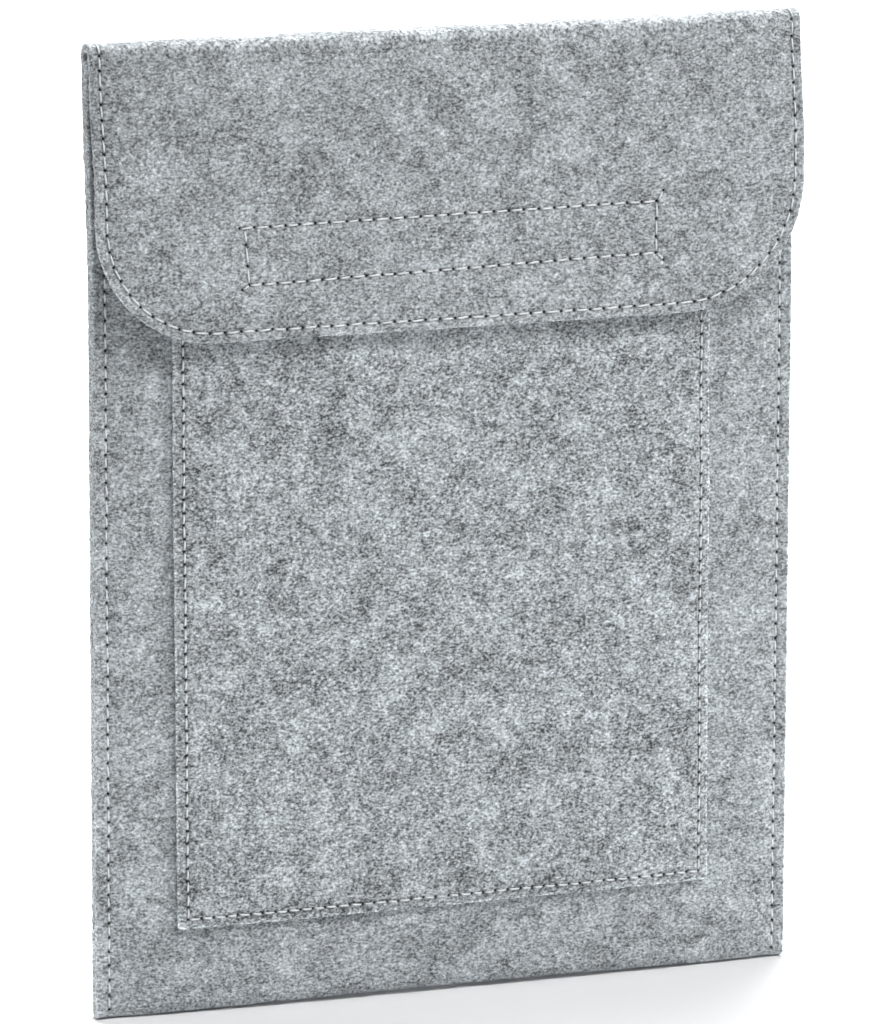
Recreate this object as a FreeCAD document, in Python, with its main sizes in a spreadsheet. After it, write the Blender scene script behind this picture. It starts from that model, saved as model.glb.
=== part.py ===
"""A felt laptop sleeve: a folded felt body with a flap, a sewn-on patch pocket, hook-and-loop tape and
lockstitched seams.

Frame: X runs across the sleeve, -Y is the front, +Z is up, and the origin is at the bottom centre of the
closed sleeve. All sizes are in millimetres and live in the sheet Sizes.
"""

import FreeCAD, Part

import math
import os
import re

import Sketcher

SIZES = {
    # Felt and overall size
    "felt_thickness": 3.0,
    "body_width": 258.0,
    "body_height": 344.0,
    # Where the front and back panels meet at the side seams
    "seam_plane_y": 4.13,
    # How the two panels bow away from that plane to make the compartment
    "front_bulge": 3.5,
    "back_bulge": 2.5,
    "seam_margin": 6.0,
    "side_rise": 15.0,
    # The side seams lean back over this height to meet the straight top fold
    "lean_height": 105.0,
    "mouth_drop": 5.5,
    # Flap and top fold
    "flap_drop": 104.0,
    "flap_corner_radius": 42.0,
    "flap_overhang": 1.2,
    "flap_slope": 2.1,
    "fold_gap": 0.6,
    "hinge_clearance": 0.15,
    "thread_hinge_gap": 0.8,
    # Patch pocket
    "pocket_width": 199.0,
    "pocket_bottom": 32.0,
    "pocket_mouth": 250.0,
    # Hook-and-loop tape
    "tape_length": 157.5,
    "tape_height": 25.0,
    "tape_thickness": 1.2,
    "tape_centre_drop": 74.0,
    # Thread and seam lines
    "thread_width": 0.7,
    "thread_height": 0.35,
    "side_seam_inset": 4.5,
    "flap_seam_inset": 3.5,
    "pocket_seam_inset": 3.5,
    "tape_seam_inset": 2.7,
}

doc = FreeCAD.newDocument("laptop_sleeve")
sheet = doc.addObject("Spreadsheet::Sheet", "Sizes")
for row, (alias, value) in enumerate(SIZES.items(), start=1):
    sheet.set(f"A{row}", alias)
    sheet.set(f"B{row}", str(value))
    sheet.setAlias(f"B{row}", alias)
doc.recompute()


def from_sheet(text):
    """The expression in text, with each alias written as a cell of the sheet."""
    return re.sub(r"[a-z][a-z_]+", lambda word: "Sizes." + word.group(), text)


def value_of(text):
    return float(sheet.evalExpression(from_sheet(text)))


def join(*terms):
    return " + ".join(f"({term})" for term in terms)


# Lengths that several sub-parts share
HALF_WIDTH = "body_width / 2"
MARGIN_X = f"{HALF_WIDTH} - seam_margin"
FLAT_X = f"{MARGIN_X} - side_rise"
FLAP_HALF_WIDTH = f"{HALF_WIDTH} + flap_overhang"
MOUTH_Z = "body_height - mouth_drop"
FOLD_Z = "body_height - felt_thickness"
BACK_INNER_Y = "seam_plane_y + back_bulge"
BACK_FACE_Y = f"{BACK_INNER_Y} + felt_thickness"
FRONT_INNER_Y = "seam_plane_y - front_bulge"
FRONT_FACE_Y = f"{FRONT_INNER_Y} - felt_thickness"
POCKET_FACE_Y = f"{FRONT_FACE_Y} - felt_thickness"
FLAP_HINGE_Y = f"{FRONT_FACE_Y} - fold_gap"
FLAP_LENGTH = "flap_drop - felt_thickness"


def new_body(label):
    body = doc.addObject("PartDesign::Body", label)
    body.Label = label
    body.AllowCompound = True
    return body


def new_sketch(body, name, plane, offset):
    """An empty sketch on one of the body's own origin planes, moved along that plane's normal."""
    sketch = body.newObject("Sketcher::SketchObject", name)
    support = [item for item in body.Origin.OriginFeatures if item.Role == plane][0]
    sketch.AttachmentSupport = [(support, "")]
    sketch.MapMode = "FlatFace"
    sketch.setExpression("AttachmentOffset.Base.z", from_sheet(offset))
    return sketch


def fix_point(sketch, piece, end, place):
    """Bind one end of a sketch line or arc to the sheet by its two coordinates."""
    for kind, text in zip(("DistanceX", "DistanceY"), place):
        value = value_of(text)
        if value < 0:
            number = sketch.addConstraint(Sketcher.Constraint(kind, piece, end, -1, 1, -value))
            sketch.setExpression(f"Constraints[{number}]", from_sheet(f"-({text})"))
        else:
            number = sketch.addConstraint(Sketcher.Constraint(kind, -1, 1, piece, end, value))
            sketch.setExpression(f"Constraints[{number}]", from_sheet(text))


def add_outline(sketch, corners, rounds=None):
    """Draw a closed outline through corners, which are pairs of expressions.

    rounds maps the number of a side to its radius: that side is a quarter circle bulging to the right of
    the direction of travel, or to the left where the radius is written with a leading minus.
    """
    rounds = rounds or {}
    places = [FreeCAD.Vector(value_of(x), value_of(y), 0) for x, y in corners]
    count = len(corners)
    first = None
    previous_end = None
    for side in range(count):
        start = places[side]
        finish = places[(side + 1) % count]
        if side in rounds:
            text = rounds[side]
            turns_left = not text.startswith("-")
            radius = abs(value_of(text))
            chord = finish - start
            across = FreeCAD.Vector(-chord.y, chord.x, 0).normalize()
            rise = math.sqrt(radius**2 - (chord.Length / 2) ** 2)
            centre = start + chord / 2 + across * (rise if turns_left else -rise)
            low, high = (start, finish) if turns_left else (finish, start)
            low_angle = math.atan2(low.y - centre.y, low.x - centre.x)
            high_angle = math.atan2(high.y - centre.y, high.x - centre.x)
            if high_angle < low_angle:
                high_angle += 2 * math.pi
            circle = Part.Circle(centre, FreeCAD.Vector(0, 0, 1), radius)
            piece = sketch.addGeometry(Part.ArcOfCircle(circle, low_angle, high_angle))
            start_end, finish_end = (1, 2) if turns_left else (2, 1)
            number = sketch.addConstraint(Sketcher.Constraint("Radius", piece, radius))
            sketch.setExpression(f"Constraints[{number}]", from_sheet(text.lstrip("-")))
        else:
            piece = sketch.addGeometry(Part.LineSegment(start, finish))
            start_end, finish_end = 1, 2
        if previous_end is None:
            first = (piece, start_end)
        else:
            sketch.addConstraint(Sketcher.Constraint("Coincident", *previous_end, piece, start_end))
        fix_point(sketch, piece, start_end, corners[side])
        previous_end = (piece, finish_end)
    sketch.addConstraint(Sketcher.Constraint("Coincident", *previous_end, *first))


def add_rectangle(sketch, low_x, high_x, low_y, high_y):
    add_outline(sketch, [(low_x, low_y), (high_x, low_y), (high_x, high_y), (low_x, high_y)])


def pad(body, sketch, length, name="Pad", reverse=False, centred=False):
    feature = body.newObject("PartDesign::Pad", name)
    feature.Profile = sketch
    feature.setExpression("Length", from_sheet(length))
    feature.Reversed = reverse
    if centred:
        feature.SideType = "Symmetric"
    body.Tip = feature
    return feature


def left_to_right(margin_y, flat_y):
    """Six corners across the sleeve: flat margins at margin_y, sloping sides and a flat middle at flat_y."""
    half = [(HALF_WIDTH, margin_y), (MARGIN_X, margin_y), (FLAT_X, flat_y)]
    return [(f"-({x})", y) for x, y in half] + half[::-1]


def wall_section(body, name, height, margin_y, flat_y, outward):
    """One level section of a bowed felt wall, as a sketch.

    margin_y and flat_y are the inner face's places, and outward is +1 for the back wall, -1 for the front.
    """
    thickness = "felt_thickness" if outward > 0 else "-felt_thickness"
    inner = left_to_right(margin_y, flat_y)
    outer = left_to_right(join(margin_y, thickness), join(flat_y, thickness))
    sketch = new_sketch(body, name, "XY_Plane", height)
    add_outline(sketch, inner + outer[::-1])
    return sketch


def bowed_wall(label, top, flat_y, outward):
    """A felt wall that rises from the bottom fold, bows out, and leans back to the straight top fold."""
    body = new_body(label)
    levels = [
        ("felt_thickness", "seam_plane_y", flat_y),
        (f"{MOUTH_Z} - lean_height", "seam_plane_y", flat_y),
        (MOUTH_Z, BACK_INNER_Y, flat_y),
    ]
    if top != MOUTH_Z:
        levels.append((top, BACK_INNER_Y, flat_y))
    sections = [
        wall_section(body, f"{label}_level_{number}", *level, outward)
        for number, level in enumerate(levels)
    ]
    loft = body.newObject("PartDesign::AdditiveLoft", "Loft")
    loft.Profile = sections[0]
    loft.Sections = sections[1:]
    loft.Ruled = True
    body.Tip = loft
    return body


def make_bottom_fold():
    """The felt that the sleeve stands on: as deep as the whole sleeve, and narrow at the sewn corners."""
    body = new_body("bottom_fold")
    sketch = new_sketch(body, "fold_outline", "XY_Plane", "0")
    front = left_to_right("seam_plane_y - felt_thickness", FRONT_FACE_Y)
    back = left_to_right("seam_plane_y + felt_thickness", BACK_FACE_Y)
    add_outline(sketch, front + back[::-1])
    pad(body, sketch, "felt_thickness")


def make_pocket_panel():
    body = new_body("pocket_panel")
    sketch = new_sketch(body, "pocket_outline", "XZ_Plane", f"-({FRONT_FACE_Y})")
    add_rectangle(sketch, "-pocket_width / 2", "pocket_width / 2", "pocket_bottom", "pocket_mouth")
    pad(body, sketch, "felt_thickness")


def make_top_fold():
    body = new_body("top_fold")
    sketch = new_sketch(body, "fold_section", "YZ_Plane", "0")
    front = f"{FLAP_HINGE_Y} + hinge_clearance"
    back = f"{BACK_INNER_Y} - hinge_clearance"
    add_rectangle(sketch, front, back, FOLD_Z, "body_height")
    pad(body, sketch, f"2 * ({FLAP_HALF_WIDTH})", centred=True)


def hang_on_flap(body):
    """Place a body drawn in the flap's own frame, whose origin is the flap's hinge line."""
    body.setExpression("Placement.Base.y", from_sheet(FLAP_HINGE_Y))
    body.setExpression("Placement.Base.z", from_sheet(FOLD_Z))
    body.Placement.Rotation = FreeCAD.Rotation(FreeCAD.Vector(1, 0, 0), -SIZES["flap_slope"])
    body.setExpression("Placement.Rotation.Angle", from_sheet("-flap_slope"))


def apron_corners(half_width, top, bottom, radius):
    """Corners and rounds of an apron shape: square at the top, two round corners at the bottom."""
    low = f"{radius} - ({bottom})"
    corners = [
        (half_width, f"-({top})"),
        (f"-({half_width})", f"-({top})"),
        (f"-({half_width})", low),
        (f"{radius} - ({half_width})", f"-({bottom})"),
        (f"({half_width}) - ({radius})", f"-({bottom})"),
        (half_width, low),
    ]
    return corners, {2: radius, 4: radius}


def make_flap_panel():
    body = new_body("flap_panel")
    sketch = new_sketch(body, "flap_outline", "XZ_Plane", "0")
    add_outline(sketch, *apron_corners(FLAP_HALF_WIDTH, "hinge_clearance", FLAP_LENGTH, "flap_corner_radius"))
    pad(body, sketch, "felt_thickness")
    hang_on_flap(body)


def tape_edges(centre, inset):
    """The four edges of a tape-sized rectangle, drawn in by inset."""
    return (
        f"-(tape_length / 2 - ({inset}))",
        f"tape_length / 2 - ({inset})",
        f"{centre} - (tape_height / 2 - ({inset}))",
        f"{centre} + (tape_height / 2 - ({inset}))",
    )


def ring_sketch(body, name, offset, centre):
    """The stitched rectangle of a tape, as a ring one thread wide."""
    sketch = new_sketch(body, name, "XZ_Plane", offset)
    add_rectangle(sketch, *tape_edges(centre, "tape_seam_inset - thread_width / 2"))
    add_rectangle(sketch, *tape_edges(centre, "tape_seam_inset + thread_width / 2"))
    return sketch


def make_tape(label, base, centre, reverse):
    """A strip of tape on the plane y = -base, with a groove where its stitching is pulled in."""
    body = new_body(label)
    outline = new_sketch(body, "tape_outline", "XZ_Plane", base)
    add_rectangle(outline, *tape_edges(centre, "0"))
    pad(body, outline, "tape_thickness", reverse=reverse)
    doc.recompute()
    solid_volume = body.Shape.Volume
    rise = "-tape_thickness" if reverse else "tape_thickness"
    groove_outline = ring_sketch(body, "groove_outline", join(base, rise), centre)
    groove = body.newObject("PartDesign::Pocket", "Groove")
    groove.Profile = groove_outline
    groove.setExpression("Length", from_sheet("thread_height"))
    groove.Reversed = reverse
    body.Tip = groove
    doc.recompute()
    if body.Shape.Volume >= solid_volume:
        raise RuntimeError(f"the groove of {label} cuts nothing")
    return body


def make_tape_thread(label, base, centre, reverse=False):
    body = new_body(label)
    pad(body, ring_sketch(body, "stitched_rectangle", base, centre), "thread_height", reverse=reverse)
    return body


def make_closure():
    """The hook strip behind the flap, the loop strip on the front panel, and the stitching of both."""
    hook_centre = "felt_thickness - tape_centre_drop"
    loop_centre = "body_height - tape_centre_drop"
    front_face = f"-({FRONT_FACE_Y})"
    in_groove = "tape_thickness - thread_height"
    hang_on_flap(make_tape("hook_strip", "0", hook_centre, reverse=True))
    hang_on_flap(make_tape_thread("hook_strip_needle_thread", "felt_thickness", hook_centre))
    hang_on_flap(make_tape_thread("hook_strip_bobbin_thread", f"-({in_groove})", hook_centre, reverse=True))
    make_tape("loop_strip", front_face, loop_centre, reverse=False)
    make_tape_thread("loop_strip_needle_thread", join(front_face, in_groove), loop_centre)
    make_tape_thread("loop_strip_bobbin_thread", f"-({FRONT_INNER_Y})", loop_centre, reverse=True)


def make_side_seam_thread(side, role, side_sign, outward):
    """The thread of a side seam, a thin strip that lies on the margin of the front or back wall."""
    body = new_body(f"{side}_seam_{role}_thread")
    thickness = "felt_thickness" if outward > 0 else "-felt_thickness"
    height = "thread_height" if outward > 0 else "-thread_height"
    upright_face = join("seam_plane_y", thickness)
    leaned_face = join(BACK_INNER_Y, thickness)
    line = [
        (upright_face, "felt_thickness + side_seam_inset"),
        (upright_face, f"{MOUTH_Z} - lean_height"),
        (leaned_face, MOUTH_Z),
    ]
    raised = [(join(y, height), z) for y, z in reversed(line)]
    seam_x = f"({HALF_WIDTH} - side_seam_inset)" if side_sign > 0 else f"-({HALF_WIDTH} - side_seam_inset)"
    sketch = new_sketch(body, "seam_side_view", "YZ_Plane", seam_x)
    add_outline(sketch, line + raised)
    pad(body, sketch, "thread_width", centred=True)


def make_pocket_thread(role, base, reverse):
    """The three-sided seam of the pocket: down one side, along the bottom and up the other side."""
    body = new_body(f"pocket_seam_{role}_thread")
    sketch = new_sketch(body, "pocket_seam", "XZ_Plane", base)
    outer = "pocket_seam_inset - thread_width / 2"
    inner = "pocket_seam_inset + thread_width / 2"
    outer_x = f"pocket_width / 2 - ({outer})"
    inner_x = f"pocket_width / 2 - ({inner})"
    corners = [
        (f"-({outer_x})", "pocket_mouth"),
        (f"-({outer_x})", f"pocket_bottom + {outer}"),
        (outer_x, f"pocket_bottom + {outer}"),
        (outer_x, "pocket_mouth"),
        (inner_x, "pocket_mouth"),
        (inner_x, f"pocket_bottom + {inner}"),
        (f"-({inner_x})", f"pocket_bottom + {inner}"),
        (f"-({inner_x})", "pocket_mouth"),
    ]
    add_outline(sketch, corners)
    pad(body, sketch, "thread_height", reverse=reverse)


def make_flap_edge_thread(role, base, reverse):
    """The topstitching that follows the flap's sides and rounded lower edge."""
    body = new_body(f"flap_edge_{role}_thread")
    sketch = new_sketch(body, "edge_seam", "XZ_Plane", base)
    outer, outer_rounds = apron_corners(
        f"{FLAP_HALF_WIDTH} - (flap_seam_inset - thread_width / 2)",
        "thread_hinge_gap",
        f"{FLAP_LENGTH} - (flap_seam_inset - thread_width / 2)",
        "(flap_corner_radius - flap_seam_inset + thread_width / 2)",
    )
    inner, inner_rounds = apron_corners(
        f"{FLAP_HALF_WIDTH} - (flap_seam_inset + thread_width / 2)",
        "thread_hinge_gap",
        f"{FLAP_LENGTH} - (flap_seam_inset + thread_width / 2)",
        "(flap_corner_radius - flap_seam_inset - thread_width / 2)",
    )
    down_outside = outer[1:] + outer[:1]
    back_inside = inner[:1] + inner[:0:-1]
    rounds = {1: outer_rounds[2], 3: outer_rounds[4]}
    rounds[len(outer) + 1] = "-" + inner_rounds[4]
    rounds[len(outer) + 3] = "-" + inner_rounds[2]
    add_outline(sketch, down_outside + back_inside, rounds)
    pad(body, sketch, "thread_height", reverse=reverse)
    hang_on_flap(body)


def make_fold_edge_thread(role, base, reverse):
    """The edge stitching where it crosses the top fold, one run near each end of the fold."""
    body = new_body(f"fold_edge_{role}_thread")
    sketch = new_sketch(body, "edge_runs", "XY_Plane", base)
    seam_x = f"({FLAP_HALF_WIDTH} - flap_seam_inset)"
    front = f"{FLAP_HINGE_Y} + thread_hinge_gap"
    back = f"{BACK_INNER_Y} - thread_hinge_gap"
    add_rectangle(sketch, f"{seam_x} - thread_width / 2", f"{seam_x} + thread_width / 2", front, back)
    add_rectangle(sketch, f"-{seam_x} - thread_width / 2", f"-{seam_x} + thread_width / 2", front, back)
    pad(body, sketch, "thread_height", reverse=reverse)


def check(subparts):
    """Stop if any object failed to compute, or any sub-part has no sound solid."""
    for item in doc.Objects:
        if "Invalid" in item.State or "Error" in item.State:
            raise RuntimeError(f"{item.Label} did not compute: {item.State}")
    for body in subparts:
        if body.Shape.isNull() or not body.Shape.isValid() or not body.Shape.Solids:
            raise RuntimeError(f"{body.Label} has no sound solid")


bowed_wall("back_panel", FOLD_Z, BACK_INNER_Y, outward=1)
bowed_wall("front_panel", MOUTH_Z, FRONT_INNER_Y, outward=-1)
make_bottom_fold()
make_pocket_panel()
make_top_fold()
make_flap_panel()
make_closure()
for seam_side, sign in (("left", -1), ("right", 1)):
    make_side_seam_thread(seam_side, "needle", sign, outward=-1)
    make_side_seam_thread(seam_side, "bobbin", sign, outward=1)
make_pocket_thread("needle", f"-({POCKET_FACE_Y})", reverse=False)
make_pocket_thread("bobbin", f"-({FRONT_INNER_Y})", reverse=True)
make_flap_edge_thread("needle", "felt_thickness", reverse=False)
make_flap_edge_thread("bobbin", "0", reverse=True)
make_fold_edge_thread("needle", "body_height", reverse=False)
make_fold_edge_thread("bobbin", FOLD_Z, reverse=True)
doc.recompute()

bodies = [item for item in doc.Objects if item.TypeId == "PartDesign::Body"]
check(bodies)
os.makedirs("parts", exist_ok=True)
for body in bodies:
    body.Shape.exportStep(f"parts/{body.Label}.step")

boxes = [body.Shape.BoundBox for body in bodies]
print("x", min(box.XMin for box in boxes), max(box.XMax for box in boxes))
print("y", min(box.YMin for box in boxes), max(box.YMax for box in boxes))
print("z", min(box.ZMin for box in boxes), max(box.ZMax for box in boxes))
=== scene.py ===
import math

import bpy
import numpy as np
from mathutils import Matrix, Vector
from mathutils.geometry import delaunay_2d_cdt


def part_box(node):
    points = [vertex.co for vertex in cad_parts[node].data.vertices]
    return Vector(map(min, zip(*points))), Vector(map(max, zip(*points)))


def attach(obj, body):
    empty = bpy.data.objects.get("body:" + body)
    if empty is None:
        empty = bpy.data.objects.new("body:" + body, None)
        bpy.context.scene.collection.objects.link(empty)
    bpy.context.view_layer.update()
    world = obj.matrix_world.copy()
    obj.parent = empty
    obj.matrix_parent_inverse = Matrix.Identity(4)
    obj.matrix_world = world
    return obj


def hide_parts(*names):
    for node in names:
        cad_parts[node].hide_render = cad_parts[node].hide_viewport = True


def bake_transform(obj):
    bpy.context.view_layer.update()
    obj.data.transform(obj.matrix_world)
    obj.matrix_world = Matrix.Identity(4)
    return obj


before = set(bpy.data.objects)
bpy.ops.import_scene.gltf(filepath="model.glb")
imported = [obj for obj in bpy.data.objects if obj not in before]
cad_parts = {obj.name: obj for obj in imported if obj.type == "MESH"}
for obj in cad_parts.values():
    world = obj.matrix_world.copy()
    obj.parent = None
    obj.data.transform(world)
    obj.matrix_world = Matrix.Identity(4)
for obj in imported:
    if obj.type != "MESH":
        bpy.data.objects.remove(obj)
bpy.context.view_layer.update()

# ------------------------
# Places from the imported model. Shapes are worked out in millimetres and made in metres.
# ------------------------
MM = 0.001


def box_mm(node):
    low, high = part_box(node)
    return np.array(low) / MM, np.array(high) / MM


front_low, front_high = box_mm("front_panel")
_, back_high = box_mm("back_panel")
fold_low, fold_high = box_mm("top_fold")
flap_low, flap_high = box_mm("flap_panel")
pocket_low, pocket_high = box_mm("pocket_panel")
loop_low, loop_high = box_mm("loop_strip")
hook_low, _ = box_mm("hook_strip")

FELT = fold_high[2] - fold_low[2]
HALF = front_high[0]
FLAP_HALF = flap_high[0]
HEIGHT = fold_high[2]
MOUTH_Z = front_high[2]
FRONT_MID = front_low[1] + FELT / 2
BACK_MID = back_high[1] - FELT / 2
FLAP_LOW = flap_low[2]

# The two layers of a side seam meet on this plane, a hair apart. Between the margins the walls bow
# out, towards the mouth the margins lean back, and above WIDEN_FROM_Z the felt is cut wider
SEAM_Y = 4.13
LAYER_GAP = 0.05
MARGIN_X = 124.0
LEAN_FROM_Z = 234.0
WIDEN_FROM_Z = 262.0
# Mid-surface radii of the folds
BOTTOM_R = FELT / 2 + LAYER_GAP
ROLL_R = 2.6
# The flap hangs forward by this slope. Its side edges start further back and come forward on the
# way down, and its right corner stays closer to the body
FLAP_SLOPE = math.tan(math.radians(2.1))
FLAP_COS = math.cos(math.atan(FLAP_SLOPE))
FLAP_TOP_Y = flap_high[1] - FELT / 2
PULL_FROM_X = 62.0
EDGE_PULL = 5.2
EDGE_PULL_DROP = 46.0
CORNER_PULL = 1.7
# Below the roll, the flap takes this long to become uneven
FLAP_EVEN_DROP = 40.0
FLAP_R_LEFT, FLAP_R_RIGHT = 42.0, 46.5

# The fold at the bottom stands on its two ends and rises a little between them
ARCH = 1.6
ARCH_UP_TO_Z = 30.0

# The pocket is sewn on a little to the left and askew
POCKET_SHIFT = -1.5
POCKET_TURN = math.radians(0.34)
POCKET_HALF = pocket_high[0] - 0.5
POCKET_LOW = pocket_low[2]
POCKET_HEIGHT = pocket_high[2] - pocket_low[2]

# The woven base of the tapes, and its gap to the felt
TAPE = 0.55
TAPE_GAP = 0.02

WALL_LOW_Z = FELT / 2 + BOTTOM_R
WALL_TOP_Z = HEIGHT - FELT / 2 - ROLL_R

# Makes the needle holes uneven, drawn from in the order of the seams
rng = np.random.default_rng(20)


def smooth(t):
    t = np.clip(t, 0.0, 1.0)
    return t * t * (3 - 2 * t)


def waves(seed, count, longest, shortest, size):
    """A gentle, seeded unevenness of a felt panel, as a function of two lengths in millimetres."""
    r = np.random.default_rng(seed)
    length = np.exp(r.uniform(math.log(shortest), math.log(longest), count))
    turn = r.uniform(0, 2 * math.pi, count)
    phase = r.uniform(0, 2 * math.pi, count)
    height = size * (length / longest) ** 1.2 * math.sqrt(2.0 / count)

    def at(x, z):
        total = 0.0
        for k in range(count):
            along = (x * math.cos(turn[k]) + z * math.sin(turn[k])) * 2 * math.pi / length[k]
            total = total + height[k] * np.cos(along + phase[k])
        return total

    return at


front_waves = waves(seed=3, count=16, longest=150, shortest=32, size=0.55)
back_waves = waves(seed=4, count=16, longest=160, shortest=32, size=0.5)
flap_waves = waves(seed=5, count=16, longest=130, shortest=28, size=0.5)


def calm(z, low=3.0, high=338.0, over=28.0):
    """1 where a panel is free to be uneven, down to 0 at its folds."""
    return smooth((z - low) / over) * smooth((high - z) / over)


def half_width(z):
    return HALF + (FLAP_HALF - HALF) * smooth((z - WIDEN_FROM_Z) / (MOUTH_Z - WIDEN_FROM_Z))


def arch(x, z):
    return ARCH * (1 - np.clip(np.abs(x) / HALF, 0, 1) ** 2.4) * (1 - smooth(z / ARCH_UP_TO_Z))


def bow(x):
    return np.clip(np.abs(x) / MARGIN_X, 0, 1) ** 4


def lean(z):
    margin_back = SEAM_Y + BOTTOM_R
    return (BACK_MID - margin_back) * smooth((z - LEAN_FROM_Z) / (MOUTH_Z - LEAN_FROM_Z))


def front_y(x, z):
    """Mid-surface of the front panel."""
    inward = SEAM_Y - BOTTOM_R - FRONT_MID + lean(z)
    steady = calm(z) * (1 - bow(x))
    return FRONT_MID + inward * bow(x) + front_waves(x, z) * steady


def back_y(x, z):
    """Mid-surface of the back panel."""
    inward = BACK_MID - SEAM_Y - BOTTOM_R - lean(z)
    steady = calm(z) * (1 - bow(x))
    return BACK_MID - inward * bow(x) + back_waves(x, z) * steady


def flap_y(x, z):
    """Mid-surface of the flap."""
    below = WALL_TOP_Z - z
    pulled = np.clip((np.abs(x) - PULL_FROM_X) / (FLAP_HALF - PULL_FROM_X), 0, 1) ** 2.2
    gone = smooth(below / EDGE_PULL_DROP)
    pull = EDGE_PULL * pulled * (1 - gone) + CORNER_PULL * pulled * gone * (x > 0)
    return FLAP_TOP_Y - FLAP_SLOPE * below + pull + flap_waves(x, z) * smooth(below / FLAP_EVEN_DROP)


# ------------------------
# The body's felt is one strip: s runs from the mouth down the front, under the bottom, up the
# back and half-way over the roll. The flap's strip runs on from there down to its lower edge.
# ------------------------
DEPTH = BACK_MID - FRONT_MID
BAND = BACK_MID - FLAP_TOP_Y - 2 * ROLL_R
S_BOTTOM = math.pi * BOTTOM_R + DEPTH - 2 * BOTTOM_R
S_HALF_ROLL = math.pi / 2 * ROLL_R + BAND / 2
S_FRONT_FOOT = MOUTH_Z - WALL_LOW_Z
S_BACK_FOOT = S_FRONT_FOOT + S_BOTTOM
S_ROLL = S_BACK_FOOT + (WALL_TOP_Z - WALL_LOW_Z)
S_ROLL_MID = S_ROLL + S_HALF_ROLL
# front and back are modelled as two pieces that meet in the middle of the underside
S_UNDER = S_FRONT_FOOT + S_BOTTOM / 2


def body_point(u, s):
    """Mid-surface of the body strip. u is the share of the half width times HALF."""
    z = np.where(s < S_FRONT_FOOT, MOUTH_Z - s, WALL_LOW_Z)
    z = np.where((s >= S_BACK_FOOT) & (s < S_ROLL), WALL_LOW_Z + s - S_BACK_FOOT, z)
    z = np.where(s >= S_ROLL, WALL_TOP_Z, z)
    x = u * half_width(z) / HALF
    y = np.where(s < S_BACK_FOOT, front_y(x, z), back_y(x, z))
    # round the bottom
    foot_front, foot_back = front_y(x, WALL_LOW_Z), back_y(x, WALL_LOW_Z)
    flat = np.maximum(foot_back - foot_front - 2 * BOTTOM_R, 0)
    run = (s - S_FRONT_FOOT) / S_BOTTOM * (math.pi * BOTTOM_R + flat)
    quarter = math.pi / 2 * BOTTOM_R
    a = np.clip(run / BOTTOM_R, 0, math.pi / 2)
    b = np.clip((run - quarter - flat) / BOTTOM_R, 0, math.pi / 2)
    across = np.clip(run - quarter, 0, flat)
    y_low = foot_front + BOTTOM_R * (1 - np.cos(a)) + across + BOTTOM_R * np.sin(b)
    z_low = WALL_LOW_Z - BOTTOM_R * np.sin(a) + BOTTOM_R * (1 - np.cos(b))
    low = (s >= S_FRONT_FOOT) & (s < S_BACK_FOOT)
    y, z = np.where(low, y_low, y), np.where(low, z_low, z)
    # over the back half of the roll
    y_roll, z_roll = roll_point(x, (s - S_ROLL) / S_HALF_ROLL, 1)
    high = s >= S_ROLL
    z = z + arch(x, z)
    return np.stack([x, np.where(high, y_roll, y), np.where(high, z_roll, z)], -1)


def roll_point(x, share, side):
    """Half of the roll: share 0 is where it leaves the wall, 1 its middle. side 1 is behind, -1 in front."""
    behind, ahead = back_y(x, WALL_TOP_Z), flap_y(x, WALL_TOP_Z)
    flat = behind - ahead - 2 * ROLL_R
    run = share * (math.pi / 2 * ROLL_R + flat / 2)
    a = np.clip(run / ROLL_R, 0, math.pi / 2)
    over = np.maximum(run - math.pi / 2 * ROLL_R, 0)
    start = behind if side > 0 else ahead
    y = start - side * (ROLL_R * (1 - np.cos(a)) + over)
    z = WALL_TOP_Z + ROLL_R * np.sin(a)
    return y, z


def flap_point(u, s):
    """Mid-surface of the flap strip, from the middle of the roll down."""
    below = np.maximum(s - S_HALF_ROLL, 0)
    z = WALL_TOP_Z - below * FLAP_COS
    y_roll, z_roll = roll_point(u, 1 - s / S_HALF_ROLL, -1)
    high = s < S_HALF_ROLL
    return np.stack([u, np.where(high, y_roll, flap_y(u, z)), np.where(high, z_roll, z)], -1)


def flap_s(z):
    return S_HALF_ROLL + (WALL_TOP_Z - z) / FLAP_COS


def pocket_point(u, s):
    """Mid-surface of the pocket. s runs up from its lower edge."""
    x = POCKET_SHIFT + u * math.cos(POCKET_TURN) - s * math.sin(POCKET_TURN)
    z = POCKET_LOW + u * math.sin(POCKET_TURN) + s * math.cos(POCKET_TURN)
    return np.stack([x, front_y(x, z) - FELT - LAYER_GAP, z], -1)


def loop_tape_point(u, s):
    z = loop_low[2] + s
    return np.stack([u, front_y(u, z) - FELT / 2 - TAPE / 2 - TAPE_GAP, z], -1)


def hook_tape_point(u, s):
    z = hook_low[2] + s
    return np.stack([u, flap_y(u, z) + FELT / 2 + TAPE / 2 + TAPE_GAP, z], -1)


def with_offset(point, u, s, w, out):
    """Points w off a mid-surface along its normal. out is 1 or -1, for the side that w is counted to."""
    h = 0.02
    here = point(u, s)
    du = point(u + h, s) - point(u - h, s)
    ds = point(u, s + h) - point(u, s - h)
    n = np.cross(ds, du) * out
    n /= np.linalg.norm(n, axis=-1, keepdims=True)
    return here + n * np.asarray(w)[..., None]


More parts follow.
